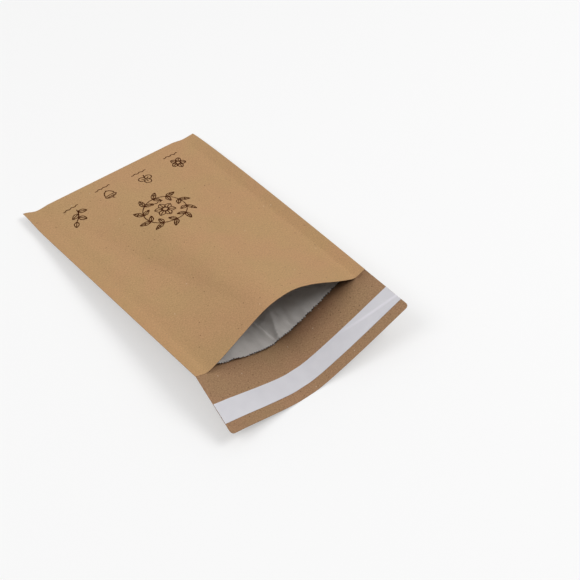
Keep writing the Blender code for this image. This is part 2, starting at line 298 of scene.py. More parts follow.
# %% A builder for paper shapes
WELD_DISTANCE = 2e-6
SHARP_ANGLE = math.radians(38)


class PaperBuilder:
    """Collects strips of faces with their flat-sheet coordinates and finish."""

    def __init__(self):
        self.points, self.flat, self.quads, self.finish = [], [], [], []
        self.count = 0

    def add_rows(self, rows, flat, finish=0):
        rows, flat = np.asarray(rows, float), np.asarray(flat, float)
        index = self.count + np.arange(rows.shape[0] * rows.shape[1]).reshape(rows.shape[:2])
        quads = np.stack([index[:-1, :-1], index[:-1, 1:], index[1:, 1:], index[1:, :-1]], -1)
        self.points.append(rows.reshape(-1, 3))
        self.flat.append(flat.reshape(-1, 3))
        self.quads.append(quads.reshape(-1, 4))
        self.finish.append(np.full(len(self.quads[-1]), finish))
        self.count += index.size

    def make_object(self, name, materials, sharp_angle=SHARP_ANGLE):
        mesh = bpy.data.meshes.new(name)
        points = np.concatenate(self.points)
        mesh.from_pydata(points.tolist(), [], np.concatenate(self.quads).tolist())
        mesh.polygons.foreach_set("material_index", np.concatenate(self.finish).astype("int32"))
        flat = mesh.attributes.new("flat_place", "FLOAT_VECTOR", "POINT")
        flat.data.foreach_set("vector", np.concatenate(self.flat).astype("float32").ravel())
        work = bmesh.new()
        work.from_mesh(mesh)
        bmesh.ops.remove_doubles(work, verts=work.verts, dist=WELD_DISTANCE)
        bmesh.ops.recalc_face_normals(work, faces=work.faces)
        open_edges = sum(not edge.is_manifold for edge in work.edges)
        work.to_mesh(mesh)
        work.free()
        mesh.shade_smooth()
        mesh.set_sharp_from_angle(angle=sharp_angle)
        for material in materials:
            mesh.materials.append(material)
        piece = bpy.data.objects.new(name, mesh)
        bpy.context.scene.collection.objects.link(piece)
        print(name, len(mesh.polygons), "faces,", open_edges, "open edges")
        return piece


print("points within", WELD_DISTANCE * 1000, "mm of each other are welded")

# %% [markdown]
# ## Where a layer ends at its sides
#
# The cushion and the lining are closed pouches. Near each seam the two kraft panels come so
# close that a layer's front and back meet, and that is where the layer ends. The place is found
# by halving: look in the middle, and keep the half in which the room runs out.

# %% Side edges of a layer
HALVINGS = 34
EDGE_CLEARANCE = 0.0012


def steady(s):
    """A station that runs straight across the sheet."""
    return lambda u: s + 0.0 * u


def layer_edge(side, s_at, depth):
    """The u where a layer's front and back, each at a depth in the stack, meet."""
    if depth <= KRAFT_THICKNESS:
        return side * SEAM_LINE
    near, far = 0.0, SEAM_LINE
    for _ in range(HALVINGS):
        middle = (near + far) / 2
        u = np.array(side * middle)
        if float(height_between(u, s_at(u))) > 2 * depth:
            near = middle
        else:
            far = middle
    return side * near


def pouch_columns(columns, s_at, depth):
    """The shared columns, with those past a layer's side edges gathered on those edges."""
    left, right = layer_edge(-1, s_at, depth), layer_edge(1, s_at, depth)
    clearance = EDGE_CLEARANCE / HALF_WIDTH if depth > KRAFT_THICKNESS else 0.0
    gathered = np.where(columns > right - clearance, right, columns)
    return np.where(columns < left + clearance, left, gathered)


cushion_side = layer_edge(1, steady(POCKET_LENGTH / 2), KRAFT_THICKNESS + LAYER_GAP)
print("half way up, the cushion runs out at x, mm:", round(cushion_side * HALF_WIDTH * 1000, 1))

# %% [markdown]
# Each face of a pouch is one strip of rows: down the front panel from its mouth edge, round the
# foot fold, and up the back panel. A station is one such row's place on a panel. It is written
# as the distance `s` for each `u`, so that a row can also follow a rounded or toothed edge.

# %% Rows of a pouch
FOLD_STEPS = 8
FOLD_ARC = math.pi * CLOSED_HEIGHT / 2


def panel_row(columns, s_at, depth, front):
    """Points across a panel, at a depth in from its outer face."""
    s = s_at(columns)
    height = height_between(columns, s) - depth if front else depth
    return sheet_point(columns, s, height)


def side_of(rows, side):
    """Each row's point at one side: 0 for the left one, -1 for the right one."""
    return [row[side] for row in rows]


def foot_rows(columns, depth):
    """Rows round the foot fold, between the front panel and the back one."""
    rows = []
    middle = height_between(columns, 0.0) / 2
    radius = np.maximum(0.0, middle - depth)
    for step in range(1, FOLD_STEPS):
        turn = math.pi * step / FOLD_STEPS
        rows.append(sheet_point(columns, 0.0, middle + radius * math.cos(turn), radius * math.sin(turn)))
    return rows


def flat_row(columns, s, side):
    """Flat-sheet coordinates of a row: the front panel is numbered on past the foot fold."""
    along = np.asarray(s) if side > 0 else -FOLD_ARC - np.asarray(s)
    return np.stack(np.broadcast_arrays(columns * HALF_WIDTH, along, 0.0), axis=-1)


def foot_flat_rows(columns):
    """Flat-sheet coordinates of the rows round the foot fold."""
    return [flat_row(columns, FOLD_ARC * (step / FOLD_STEPS - 1), 1) for step in range(1, FOLD_STEPS)]


def distance_from_foot(along):
    """The distance s that belongs to a flat-sheet coordinate."""
    return np.where(along < 0, np.maximum(0.0, -along - FOLD_ARC), along)


def pouch_rows(columns, stations, depth_at):
    """Rows of one face of a pouch, from the front's mouth edge round the foot to the back's."""
    fronts, backs, front_flat, back_flat = [], [], [], []
    for s_at in stations:
        depth = float(depth_at(s_at(np.array(0.0))))
        across = pouch_columns(columns, s_at, depth)
        fronts.append(panel_row(across, s_at, depth, True))
        backs.append(panel_row(across, s_at, depth, False))
        front_flat.append(flat_row(across, s_at(across), -1))
        back_flat.append(flat_row(across, s_at(across), 1))
    foot_depth = float(depth_at(0.0))
    across = pouch_columns(columns, stations[0], foot_depth)
    foot = foot_rows(across, foot_depth)
    return fronts[::-1] + foot + backs, front_flat[::-1] + foot_flat_rows(across) + back_flat


def crowded(count, start, end, power):
    """Distances from start to end, closer together at the start where power is over 1."""
    return [mix(start, end, (step / count) ** power) for step in range(count + 1)]


print("paper round the foot fold, mm:", round(FOLD_ARC * 1000, 1))

# %% [markdown]
# ## Paper finishes
#
# Kraft paper looks plain brown from afar, but up close it is a felt of short fibres with
# scattered dark specks of bark, and it is mottled where the pulp lay thicker. A photo texture
# could show that. Noise patterns are used instead, because they have no edges or repeats:
# stretched noise makes fibres, a broad noise makes the mottling, a broader one turns the brown a
# little redder or greener, and the cells of a Voronoi pattern, kept only where a random value is
# high, make the specks.

# %% Helpers for node materials
# Nearly all values of a noise pattern lie between these
NOISE_SPREAD = (0.3, 0.7)


def new_material(name, colour, roughness):
    material = bpy.data.materials.new(name)
    material.use_nodes = True
    shader = material.node_tree.nodes["Principled BSDF"]
    shader.inputs["Base Color"].default_value = (*colour, 1)
    shader.inputs["Roughness"].default_value = roughness
    return material, material.node_tree, shader


def sheet_coordinates(tree, stretch=(1, 1, 1)):
    """Place on the flat sheet in metres, scaled along each direction."""
    place = tree.nodes.new("ShaderNodeAttribute")
    place.attribute_name = "flat_place"
    scale = tree.nodes.new("ShaderNodeMapping")
    scale.inputs["Scale"].default_value = stretch
    tree.links.new(place.outputs["Vector"], scale.inputs["Vector"])
    return scale.outputs["Vector"]


def add_noise(tree, vector, scale, detail=4.0, distortion=0.0):
    noise = tree.nodes.new("ShaderNodeTexNoise")
    noise.inputs["Scale"].default_value = scale
    noise.inputs["Detail"].default_value = detail
    noise.inputs["Distortion"].default_value = distortion
    tree.links.new(vector, noise.inputs["Vector"])
    return noise.outputs["Fac"]


def add_range(tree, value, low, high, to_low=0.0, to_high=1.0):
    """Stretches a value from one range to another and holds it there."""
    change = tree.nodes.new("ShaderNodeMapRange")
    for name, number in (("From Min", low), ("From Max", high), ("To Min", to_low), ("To Max", to_high)):
        change.inputs[name].default_value = number
    tree.links.new(value, change.inputs["Value"])
    return change.outputs["Result"]


def add_math(tree, operation, first, second):
    node = tree.nodes.new("ShaderNodeMath")
    node.operation = operation
    for socket, value in zip(node.inputs, (first, second)):
        if isinstance(value, (int, float)):
            socket.default_value = value
        else:
            tree.links.new(value, socket)
    return node.outputs["Value"]


def add_mix(tree, amount, first, second):
    """Mixes two colours, each a socket or three numbers, by an amount."""
    node = tree.nodes.new("ShaderNodeMix")
    node.data_type = "RGBA"
    factor, _, _, _, _, _, first_colour, second_colour = node.inputs[:8]
    for socket, value in ((factor, amount), (first_colour, first), (second_colour, second)):
        if isinstance(value, tuple):
            socket.default_value = (*value, 1)
        elif isinstance(value, float):
            socket.default_value = value
        else:
            tree.links.new(value, socket)
    return node.outputs["Result"]


# %% Helpers for specks and relief
SPECK_SOFTNESS = 0.55


def add_specks(tree, vector, spacing, keep, size):
    """1 inside a few small spots and 0 elsewhere: some of a Voronoi pattern's cell centres."""
    cells = tree.nodes.new("ShaderNodeTexVoronoi")
    cells.voronoi_dimensions = "2D"
    cells.inputs["Scale"].default_value = 1 / spacing
    tree.links.new(vector, cells.inputs["Vector"])
    near = add_range(tree, cells.outputs["Distance"], size / spacing, SPECK_SOFTNESS * size / spacing)
    split = tree.nodes.new("ShaderNodeSeparateColor")
    tree.links.new(cells.outputs["Color"], split.inputs["Color"])
    chosen = add_math(tree, "GREATER_THAN", split.outputs["Red"], 1 - keep)
    return add_math(tree, "MULTIPLY", near, chosen)


def add_bump(tree, shader, height, distance):
    bump = tree.nodes.new("ShaderNodeBump")
    bump.inputs["Distance"].default_value = distance
    tree.links.new(height, bump.inputs["Height"])
    tree.links.new(bump.outputs["Normal"], shader.inputs["Normal"])


# %% Colours and patterns of the kraft
KRAFT_COLOUR = (0.450, 0.272, 0.134)
KRAFT_INSIDE_COLOUR = (0.334, 0.199, 0.108)
BARK_COLOUR = (0.10, 0.05, 0.026)
PALE_FIBRE_COLOUR = (0.66, 0.52, 0.38)
# The painted shadow beside the lining's cut edge: its colour, its reach over the flap and its strength
PAINTED_EDGE_SHADOW_COLOUR = (0.135, 0.063, 0.031)
SHADOW_START = 0.270
SHADOW_END = 0.293
SHADOW_LEFT = -0.016
SHADOW_RIGHT = 0.006
SHADOW_FADE = 1.6
SHADOW_EVENNESS = 0.75
SHADOW_STRENGTH = 0.80
# How red, green and blue change where the pulp turns greener and where it turns redder
GREENER = (0.955, 1.025, 0.94)
REDDER = (1.05, 0.965, 1.00)
THIN_PULP = 0.965
THICK_PULP = 1.03
FELT_SHARE = 0.62
# The kinds of specks: their spacing, their size, and how much they cover the paper
FINE_SPECKS = (0.0022, 0.00045, 0.35)
BARK_SPECKS = (0.0040, 0.00068, 0.62)
PALE_SPECKS = (0.0057, 0.00060, 0.6)
FINE_SPECK_SURPLUS = 2.2


def tinted(colour, amount):
    """A colour made lighter or darker by one amount, or by one for each of its three parts."""
    amounts = amount if isinstance(amount, tuple) else (amount,) * 3
    return tuple(min(1.0, part * change) for part, change in zip(colour, amounts))


print("colour where the pulp is thick:", np.round(tinted(KRAFT_COLOUR, THICK_PULP), 3))

# %% [markdown]
# The finish is built up in layers, as paper is: first the pulp with its patches, then the felt
# of fibres over it, then the specks. The flap's inner side also gets a painted shadow, a dark
# patch strongest at the lining's edge, right of its kink, where the raised edge and the arch shade it.

# %% Layers of the kraft
def painted_edge_shadow(tree, patches):
    """How much painted shadow darkens the flap: most beside the lining's cut edge, right of its kink."""
    split = tree.nodes.new("ShaderNodeSeparateXYZ")
    tree.links.new(sheet_coordinates(tree), split.inputs["Vector"])
    upwards = add_range(tree, split.outputs["Y"], SHADOW_END, SHADOW_START)
    inwards = add_range(tree, split.outputs["X"], SHADOW_LEFT, SHADOW_RIGHT)
    uneven = add_range(tree, patches, 0, 1, SHADOW_EVENNESS, 1.0)
    both = add_math(tree, "MULTIPLY", add_math(tree, "POWER", upwards, SHADOW_FADE), inwards)
    return add_math(tree, "MULTIPLY", add_math(tree, "MULTIPLY", both, uneven), SHADOW_STRENGTH)


def kraft_pulp(tree, colour, thickness):
    """Thicker pulp is lighter, and broad patches of it lean to green or to red."""
    patches = add_range(tree, add_noise(tree, sheet_coordinates(tree), 21, 2), 0.38, 0.62)
    tones = []
    for tone in (THIN_PULP, THICK_PULP):
        pulp = tinted(colour, tone)
        tones.append(add_mix(tree, patches, tinted(pulp, GREENER), tinted(pulp, REDDER)))
    return add_mix(tree, thickness, *tones)


def kraft_fibres(tree):
    """Fine noise drawn out along the sheet, and as much of it across."""
    along = add_noise(tree, sheet_coordinates(tree, (1.0, 0.22, 1.0)), 2300, 3, 0.4)
    across = add_noise(tree, sheet_coordinates(tree, (0.25, 1.0, 1.0)), 2000, 3, 0.4)
    return add_math(tree, "MULTIPLY", add_math(tree, "ADD", along, across), 0.5)


def kraft_felt(tree, colour, grain, fibres):
    """Short flock in some places and longer threads in others."""
    plain = sheet_coordinates(tree)
    layers = []
    for pattern, low, high, contrast in ((add_noise(tree, plain, 760, 2), 0.34, 0.66, grain),
                                         (fibres, 0.36, 0.64, 1.3 * grain)):
        dark, light = tinted(colour, 1 - contrast), tinted(colour, 1 + contrast)
        layers.append(add_mix(tree, add_range(tree, pattern, low, high), dark, light))
    return add_mix(tree, add_range(tree, add_noise(tree, plain, 420, 2), 0.35, 0.65), *layers)


def scatter_specks(tree, paper, stretch, kind, keep, speck_colour):
    """The paper's colour with specks of one kind laid over it."""
    spacing, size, cover = kind
    specks = add_specks(tree, sheet_coordinates(tree, stretch), spacing, keep, size)
    return add_mix(tree, add_math(tree, "MULTIPLY", specks, cover), paper, speck_colour)


# %% The kraft finishes, one for each face of the sheet
def kraft_material(name, colour, grain, speck_share, pale_share, bump_height, painted_shadow=False):
    """Brown paper: mottled pulp, fibres lying both ways, dark specks and a few pale ones."""
    material, tree, shader = new_material(name, colour, 0.85)
    shader.inputs["Specular IOR Level"].default_value = 0.22
    plain = sheet_coordinates(tree)
    thickness = add_range(tree, add_noise(tree, plain, 95, 5), *NOISE_SPREAD)
    fibres = kraft_fibres(tree)
    felt = kraft_felt(tree, colour, grain, fibres)
    paper = add_mix(tree, FELT_SHARE, kraft_pulp(tree, colour, thickness), felt)
    fine_share = FINE_SPECK_SURPLUS * speck_share
    paper = scatter_specks(tree, paper, (1, 1, 1), FINE_SPECKS, fine_share, BARK_COLOUR)
    paper = scatter_specks(tree, paper, (1, 1, 1), BARK_SPECKS, speck_share, BARK_COLOUR)
    paper = scatter_specks(tree, paper, (1, 0.8, 1), PALE_SPECKS, pale_share, PALE_FIBRE_COLOUR)
    # Painted shadow: the paper is darkened beside the lining's edge, right of its kink, as its shade would
    # darken it
    if painted_shadow:
        paper = add_mix(tree, painted_edge_shadow(tree, thickness), paper, PAINTED_EDGE_SHADOW_COLOUR)
    tree.links.new(paper, shader.inputs["Base Color"])
    tree.links.new(add_range(tree, fibres, *NOISE_SPREAD, 0.76, 0.93), shader.inputs["Roughness"])
    cockle = add_math(tree, "MULTIPLY", add_noise(tree, plain, 300, 3), 1.6)
    add_bump(tree, shader, add_math(tree, "ADD", fibres, cockle), bump_height)
    return material


kraft_outside = kraft_material("kraft_outside", KRAFT_COLOUR, 0.25, 0.022, 0.010, 0.00005)
kraft_inside = kraft_material("kraft_inside", KRAFT_INSIDE_COLOUR, 0.38, 0.07, 0.03, 0.00008, True)
print("kraft finishes:", kraft_outside.name, kraft_inside.name)

# %% [markdown]
# ## The kraft wrapper
#
# The wrapper replaces the plain solid with the same shape in finer faces. Its outer face runs
# from the mouth edge of the front panel, round the foot, along the back and out to the end of
# the flap. The inner face is the inside of the pocket and the bare inner side of the flap,
# which is the rougher, darker side of the paper.

# %% Columns and rows of the wrapper
FLAP_CORNER_RADIUS = 0.0035
CORNER_STEPS = 5
POCKET_COLUMN_COUNT = 84
POCKET_ROW_COUNT = 84
POCKET_ROW_CROWDING = 1.12
FLAP_ROW_COUNT = 20
# Parts of the way from the last straight row of the flap to its free edge
FLAP_EASING = (0.35, 0.65, 0.88, 1.0)


def pocket_columns(count):
    """Columns from seam to seam, closer together towards both sides."""
    even = np.linspace(-1, 1, count + 1)
    return SEAM_LINE * (even + np.sin(np.pi * even / 2)) / 2


def wrapper_columns():
    """Columns over the whole width, crowded round the rounded flap corners."""
    turns = np.linspace(0, np.pi / 2, CORNER_STEPS + 1)
    corner = FLAP_CORNER_RADIUS * (1 - np.cos(turns))
    straight = np.linspace(FLAP_CORNER_RADIUS, SEAM_WIDTH, CORNER_STEPS + 1)[1:-1]
    side = 1 - np.concatenate([corner, straight]) / HALF_WIDTH
    return np.concatenate([-side, pocket_columns(POCKET_COLUMN_COUNT), side[::-1]]), len(side)


def flap_end_at(u):
    """Where the free edge lies, drawn in around the rounded corners."""
    across = np.maximum(0.0, FLAP_CORNER_RADIUS - (1 - abs(u)) * HALF_WIDTH)
    reach = np.sqrt(np.maximum(0.0, FLAP_CORNER_RADIUS ** 2 - across ** 2))
    return SHEET_END - FLAP_CORNER_RADIUS + reach


def flap_stations():
    """Rows of the flap: straight ones, then ones that ease into the rounded free edge."""
    last_straight = SHEET_END - 2 * FLAP_CORNER_RADIUS
    straight = [steady(s) for s in np.linspace(POCKET_LENGTH, last_straight, FLAP_ROW_COUNT)[1:]]
    eased = [lambda u, part=part: mix(last_straight, flap_end_at(u), part) for part in FLAP_EASING]
    return straight + eased


print("wrapper columns:", len(wrapper_columns()[0]), "flap rows:", len(flap_stations()))

# %% [markdown]
# The outer face and the inner face are joined by three kinds of narrow strip: the rim along the
# mouth, the free edge of the flap, and both sides. Along the seams the front panel lies on the
# back one, so a line half way up the side is where the two papers meet.

# %% Build the wrapper
def make_wrapper():
    columns, side_count = wrapper_columns()
    pocket = slice(side_count, len(columns) - side_count)
    stations = [steady(s) for s in crowded(POCKET_ROW_COUNT, 0.0, POCKET_LENGTH, POCKET_ROW_CROWDING)]
    flap = flap_stations()
    fronts = [panel_row(columns, s_at, 0, True) for s_at in stations]
    backs = [panel_row(columns, s_at, 0, False) for s_at in stations + flap]
    front_flat = [flat_row(columns, s_at(columns), -1) for s_at in stations]
    back_flat = [flat_row(columns, s_at(columns), 1) for s_at in stations + flap]
    foot = foot_rows(columns, 0)
    inner_columns = pocket_columns(POCKET_COLUMN_COUNT)
    inside, inside_flat = pouch_rows(inner_columns, stations, lambda s: KRAFT_THICKNESS)
    from_mouth = [stations[-1]] + flap
    flap_inside = [panel_row(columns, s_at, KRAFT_THICKNESS, False) for s_at in from_mouth]
    flap_flat = [flat_row(columns, s_at(columns), 1) for s_at in from_mouth]
    mouth_rim = np.array(flap_inside[0])
    mouth_rim[pocket] = inside[0]

    builder = PaperBuilder()
    outer_flat = front_flat[::-1] + foot_flat_rows(columns) + back_flat
    builder.add_rows(fronts[::-1] + foot + backs, outer_flat, 0)
    builder.add_rows(inside, inside_flat, 1)
    builder.add_rows(flap_inside, flap_flat, 1)
    builder.add_rows([fronts[-1], mouth_rim], [front_flat[-1]] * 2, 1)
    builder.add_rows([backs[-1], flap_inside[-1]], [back_flat[-1]] * 2, 1)
    for side in (0, -1):
        joint = [sheet_point(columns[side], s_at(columns[side]), KRAFT_THICKNESS) for s_at in stations]
        joint_edge = joint + side_of(flap_inside[1:], side)
        edge_flat, front_edge, back_edge = (side_of(rows, side) for rows in (back_flat, fronts, backs))
        builder.add_rows([front_edge, joint], [edge_flat[:len(joint)]] * 2, 0)
        builder.add_rows([joint_edge, back_edge], [edge_flat] * 2, 0)
        fold_edge = [front_edge[0]] + side_of(foot, side) + [back_edge[0]]
        turns = len(fold_edge)
        builder.add_rows([fold_edge, [joint[0]] * turns], [[edge_flat[0]] * turns] * 2, 0)
    wrapper = builder.make_object("kraft_wrapper", [kraft_outside, kraft_inside])
    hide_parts("outer_wrapper")
    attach(wrapper, "root")
    return wrapper


make_wrapper()

# %% [markdown]
# ## The cushion
#
# The cushion can't be seen once the mailer is made, but it is what makes it a padded one. It is
# loose paper wadding, a little lumpy, folded at the foot like the kraft. It is built as a closed
# pouch with a lumpy inner face, and is thinner near the mouth, where it is pressed flat.

# %% The cushion's thickness and its wadding
PADDING_END = POCKET_LENGTH - 0.016
TAPER_START = PADDING_END - 0.024
PADDING_EDGE_THICKNESS = 0.0004
LUMP_HEIGHT = 0.00012
LUMP_SPACING = 0.009
CUSHION_COLUMN_COUNT = 56
CUSHION_ROW_COUNT = 50
CUSHION_ROW_CROWDING = 1.2
TAPER_ROW_COUNT = 6
# Columns at each side and rows at each end that stay without lumps
PLAIN_COLUMNS = 14
PLAIN_ROWS = 2
WADDING_COLOUR = (0.40, 0.36, 0.31)
DARK_SHREDS = (0.27, 0.24, 0.20)
PALE_SHREDS = (0.52, 0.47, 0.41)


def padding_thickness_at(s):
    return mix(PADDING_THICKNESS, PADDING_EDGE_THICKNESS, share(s, TAPER_START, PADDING_END))


def wadding_material():
    material, tree, shader = new_material("paper_wadding", WADDING_COLOUR, 0.95)
    plain = sheet_coordinates(tree)
    shreds = add_noise(tree, sheet_coordinates(tree, (1.0, 0.4, 1.0)), 900, 5, 1.5)
    colour = add_mix(tree, add_range(tree, shreds, *NOISE_SPREAD), DARK_SHREDS, PALE_SHREDS)
    tree.links.new(colour, shader.inputs["Base Color"])
    shader.inputs["Sheen Weight"].default_value = 0.3
    add_bump(tree, shader, add_noise(tree, plain, 600, 5, 1.0), 0.0004)
    return material


print("the cushion ends", round((POCKET_LENGTH - PADDING_END) * 1000, 1), "mm before the mouth")


# %% Build the cushion
def make_cushion():
    columns = pocket_columns(CUSHION_COLUMN_COUNT)
    distances = crowded(CUSHION_ROW_COUNT, 0.0, TAPER_START, CUSHION_ROW_CROWDING)
    distances += list(np.linspace(TAPER_START, PADDING_END, TAPER_ROW_COUNT)[1:])
    stations = [steady(s) for s in distances]
    outer_depth = KRAFT_THICKNESS + LAYER_GAP
    outside, outside_flat = pouch_rows(columns, stations, lambda s: outer_depth)
    inside, inside_flat = pouch_rows(columns, stations, lambda s: outer_depth + padding_thickness_at(s))
    rows, flat = np.array(inside), np.array(inside_flat)
    waves = np.sin(2 * np.pi * flat / LUMP_SPACING)
    front = np.arange(len(rows)) <= (len(rows) - 1) / 2
    lumps = LUMP_HEIGHT * waves[..., 0] * waves[..., 1] * np.where(front, 1.0, -1.0)[:, None]
    lumpy = (slice(PLAIN_ROWS, -PLAIN_ROWS), slice(PLAIN_COLUMNS, -PLAIN_COLUMNS))
    rows[..., 2][lumpy] += lumps[lumpy]
    builder = PaperBuilder()
    builder.add_rows(outside, outside_flat)
    builder.add_rows(rows, flat)
    builder.add_rows([outside[0], rows[0]], [outside_flat[0]] * 2)
    builder.add_rows([outside[-1], rows[-1]], [outside_flat[-1]] * 2)
    cushion = builder.make_object("paper_cushion", [wadding_material()])
    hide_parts("padding")
    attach(cushion, "root")
    return cushion


make_cushion()

# %% [markdown]
# ## The grey lining
#
# The lining is thin recycled paper, cut with a toothed blade, and it has creased where the
# mouth was pulled open. Those creases are the first thing the eye finds inside the mailer, so
# they are real shape. The largest is where the back sags: the paper there is folded sharply, so
# right of the lowest line it stands up in one steep facet before it runs level again. Others are
# ridges along lines on the sheet, each high on its line, falling away to both sides and fading
# out at its ends. The rest is crumpled paper: a smooth random field, folded back wherever it
# passes its middle value, which makes sharp crests in no regular order. The seed is fixed, so
# the paper looks the same on every run.

# %% Sizes of the creases
LINING_SETBACK_LEFT = 0.0042
LINING_SETBACK_KINK = 0.0028
LINING_SETBACK_RIGHT = 0.0082
LINING_KINK = -0.010
LINING_DROP = 0.004
FACET_FOOT = -0.0070
FACET_CREST_AT_EDGE = -0.0030
FACET_CREST_INSIDE = 0.0105
FACET_LENGTH = 0.032
FACET_HEIGHT = 0.0078
FACET_SHARE_AT_EDGE = 0.35
FACET_FALL = 0.034
FACET_START = 0.195
FACET_FULL = 0.236
EDGE_MARGIN = 0.004
WRINKLES_START = 0.06
WRINKLES_FULL = 0.14
FRONT_WRINKLE_SHARE = 0.4
CRUMPLE_GRID = 64
CRUMPLE_ORIGIN = (0.25, 0.10)
CRUMPLE_STRETCH = 1.5
CRUMPLE_SHARPNESS = 2.6
# Each layer of crumpling: the size of its cells, its direction, its height and its seed
CRUMPLES = ((0.0170, 0.5, 0.00160, 3), (0.0090, -0.4, 0.00110, 11))
CREST_ROUNDNESS = 1.3
# How far along its line a crease fades in and out, in parts of its length
FADE_IN = (-0.10, 0.12)
FADE_OUT = (1.15, 0.6)
# Each crease: where it starts and ends on the sheet (x, s), its widths left and right, its height
HAND_CREASES = (
    ((-0.0064, 0.2740), (-0.0102, 0.2320), 0.0034, 0.0016, 0.0016),
    ((0.0180, 0.267), (0.0235, 0.244), 0.0020, 0.0050, 0.0007),
    ((0.0330, 0.262), (0.0350, 0.240), 0.0020, 0.0060, 0.0006),
    ((0.0500, 0.266), (0.0540, 0.246), 0.0024, 0.0060, 0.0005),
    ((-0.0350, 0.266), (-0.0270, 0.240), 0.0070, 0.0030, 0.0004),
)
print(len(HAND_CREASES), "creases, and one facet of", FACET_HEIGHT * 1000, "mm")


# %% Heights of the creases
def crease_height(x, s, start, end, left_width, right_width, height):
    """A ridge along a line: a rounded crest that fades out at both ends."""
    line = np.subtract(end, start)
    length = math.hypot(*line)
    along = ((x - start[0]) * line[0] + (s - start[1]) * line[1]) / length ** 2
    off = ((s - start[1]) * line[0] - (x - start[0]) * line[1]) / length
    crest = np.exp(-np.abs(off / np.where(off < 0, left_width, right_width)) ** CREST_ROUNDNESS)
    return height * crest * smooth(share(along, *FADE_IN)) * smooth(share(along, *FADE_OUT))


def crumpled(x, s, cell, direction, seed):
    """From 0 in the hollows to 1 on sharp crests between nearly flat facets."""
    values = np.random.default_rng(seed).random((CRUMPLE_GRID, CRUMPLE_GRID))
    turn, lean = math.cos(direction), math.sin(direction)
    across = (x * turn + s * lean + CRUMPLE_ORIGIN[0]) / cell
    along = (s * turn - x * lean + CRUMPLE_ORIGIN[1]) / (CRUMPLE_STRETCH * cell)
    column, row = np.floor(across).astype(int), np.floor(along).astype(int)
    near = mix(values[row, column], values[row, column + 1], across - column)
    far = mix(values[row + 1, column], values[row + 1, column + 1], across - column)
    return 1 - np.minimum(1.0, CRUMPLE_SHARPNESS * np.abs(mix(near, far, along - row) - 0.5))


def steep_facet(x, s):
    """The fold beside the lowest line: up one steep facet, then slowly down again."""
    edge = POCKET_LENGTH - EDGE_MARGIN
    inside = share(s, edge, edge - FACET_LENGTH)
    crest = mix(FACET_CREST_AT_EDGE, FACET_CREST_INSIDE, inside)
    rise = share(x, FACET_FOOT, crest)
    fall = np.exp(-np.maximum(0.0, x - crest) / FACET_FALL)
    height = FACET_HEIGHT * mix(FACET_SHARE_AT_EDGE, 1.0, inside)
    return height * rise * fall * smooth(share(s, FACET_START, FACET_FULL))


def lining_wrinkle(x, s, front):
    """How far the lining stands off the cushion, always into the pocket."""
    if front:
        return FRONT_WRINKLE_SHARE * lining_wrinkle(-x, s, False)
    crumples = sum(height * crumpled(x, s, cell, turn, seed) for cell, turn, height, seed in CRUMPLES)
    ridges = sum(crease_height(x, s, *crease) for crease in HAND_CREASES)
    return (crumples + ridges + steep_facet(x, s)) * share(s, WRINKLES_START, WRINKLES_FULL)


across_sheet = np.linspace(-HALF_WIDTH, HALF_WIDTH, 101)
tallest = lining_wrinkle(across_sheet, np.full_like(across_sheet, FACET_FULL), False).max()
print("tallest wrinkle where the facet is full, mm:", round(float(tallest) * 1000, 1))

# %% [markdown]
# The toothed edge comes from the columns themselves: they stand half a tooth apart, and every
# second one ends about a millimetre sooner. The edge lies further back towards both sides than
# at its kink, as a pocket's edge does when the back sheet sags. The last narrow row of faces at
# its very rim gets a dark finish, broken up by noise: partly hot glue that darkened the rim, and
# partly painted shadow of the gap under the edge. The edge also stands a little off the kraft,
# which leaves a fine line of shadow.

# %% The lining's edge and its papers
TOOTH_PITCH = 0.0026
TOOTH_DEPTH = 0.0014
TOOTH_SEED = 7
# The shortest and the longest tooth, in parts of the depth
TOOTH_RANGE = (0.5, 1.1)
RIM_WIDTH = 0.0007
EDGE_LIFT = 0.0004
CREASE_ANGLE = math.radians(13)
COARSE_ROW_COUNT = 16
COARSE_ROW_CROWDING = 1.2
FINE_ROW_COUNT = 72
FINE_ROWS_START = 0.165
# No row lies nearer than this to the cushion's end, where the lining starts to drop
DROP_MARGIN = 0.001
# Parts of the way from the last straight row to the rim
RIM_EASING = (0.35, 0.7, 1.0)
# Wrinkles take up at most this share of the pocket's room, less a clearance
ROOM_SHARE = 0.4
ROOM_CLEARANCE = 0.0012
LINING_COLOUR = (0.54, 0.514, 0.491)
LINING_DARK_CLOUDS = (0.51, 0.485, 0.462)
LINING_PALE_CLOUDS = (0.57, 0.544, 0.518)
FLECK_COLOUR = (0.16, 0.14, 0.13)
# Colours of the cut rim, darkened partly by glue and partly by painted shadow of the gap under the edge
RIM_GLUE_AND_SHADE_COLOUR = (0.06, 0.045, 0.035)
RIM_DARKEST_GLUE_AND_SHADE_COLOUR = (0.012, 0.008, 0.006)
RIM_BARE_COLOUR = (0.36, 0.34, 0.32)


def lining_depth_at(s):
    """Depth of the lining's outer face: over the cushion, then down to the kraft near the mouth."""
    past_cushion = share(s, PADDING_END + LAYER_GAP, PADDING_END + LINING_DROP)
    return KRAFT_THICKNESS + LAYER_GAP + (padding_thickness_at(s) + LAYER_GAP) * (1 - past_cushion)


def lining_end_at(u):
    """The lining's cut edge without its teeth."""
    kink = LINING_KINK / HALF_WIDTH
    corner = np.where(u < kink, LINING_SETBACK_LEFT, LINING_SETBACK_RIGHT)
    outwards = share((u - kink) / (np.where(u > kink, 1.0, -1.0) - kink), 0, 1)
    return POCKET_LENGTH - mix(LINING_SETBACK_KINK, corner, outwards)


